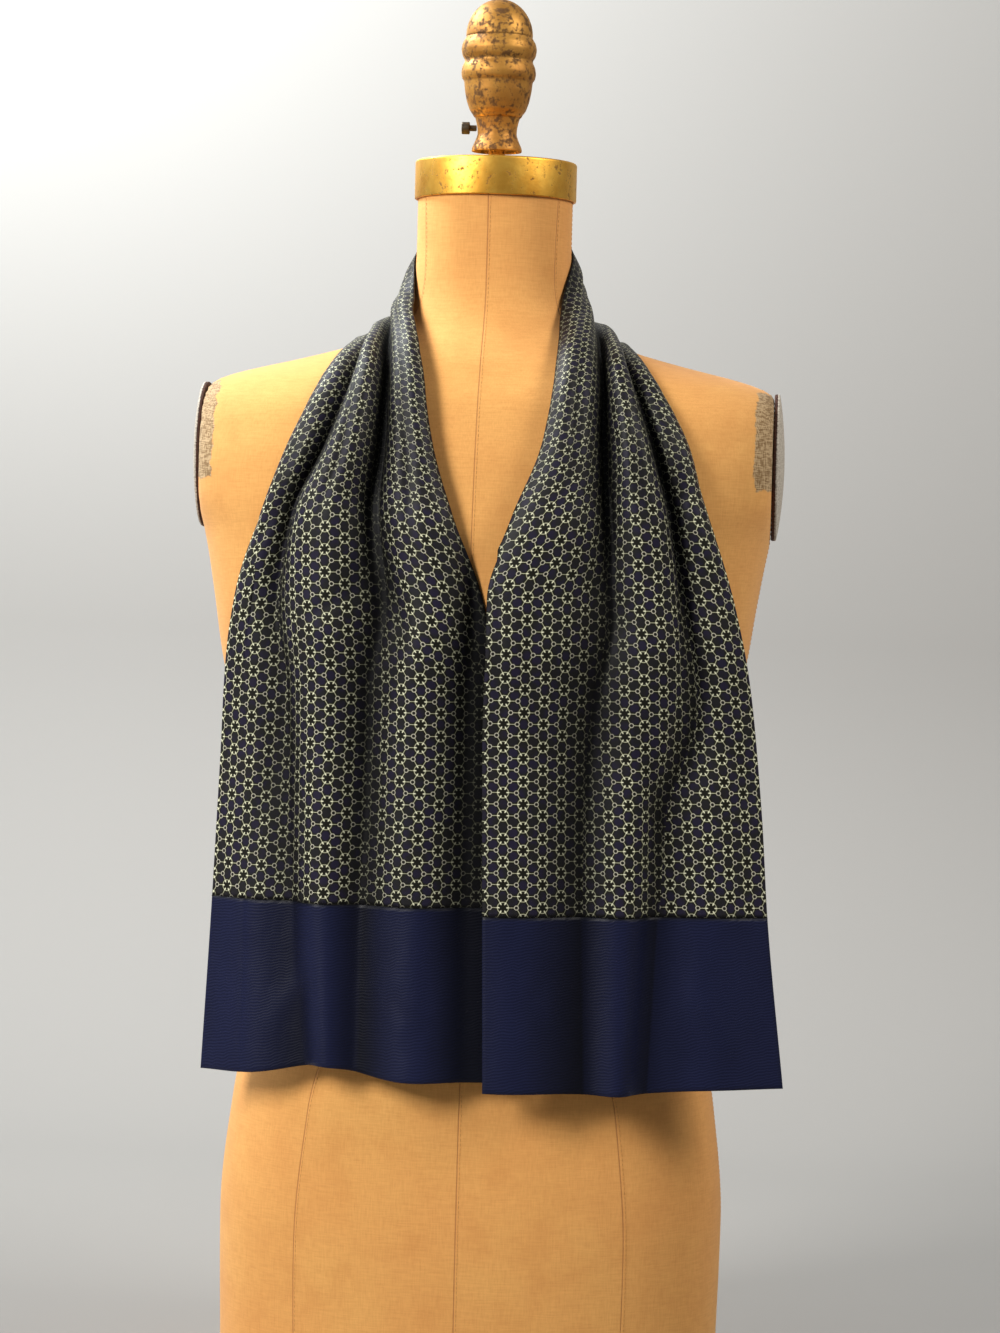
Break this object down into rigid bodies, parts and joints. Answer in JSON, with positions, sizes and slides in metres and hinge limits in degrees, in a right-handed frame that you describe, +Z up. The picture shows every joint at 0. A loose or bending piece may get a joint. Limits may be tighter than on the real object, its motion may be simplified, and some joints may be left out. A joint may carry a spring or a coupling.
{
  "type": "silk cravat on a limbless dress form",
  "caption": "Printed silk cravat with plain navy end bands, hung open round the neck of a linen dress form with a brass neck cap and a turned finial",
  "frame": {"origin": "middle of the bounding box at the underside of the base board", "axes": "+Z up, the front of the form faces -Y, +X is the viewer's right"},
  "size_m": [0.4416, 0.2562, 1.013],
  "materials": {
    "printed_silk": "soft sheen, geometric print of pale lines on near black",
    "navy_silk": "satin sheen with faint cross ribs",
    "linen": "matt plain weave, aged ochre",
    "arm_board": "grey, worn",
    "brass": "polished, tarnished in patches",
    "gilt_wood": "old bronze gilding over turned wood",
    "dark_steel": "darkened steel",
    "base_wood": "oiled"
  },
  "bodies": {
    "root": {"left_front": "printed_silk", "neck_stretch": "printed_silk", "right_front": "printed_silk", "left_end_band": "navy_silk", "right_end_band": "navy_silk", "form_body": "linen", "arm_board_left": "arm_board", "arm_board_right": "arm_board", "neck_cap": "brass", "finial": "gilt_wood", "finial_screw": "dark_steel", "base_board": "base_wood"}
  },
  "joints": []
}
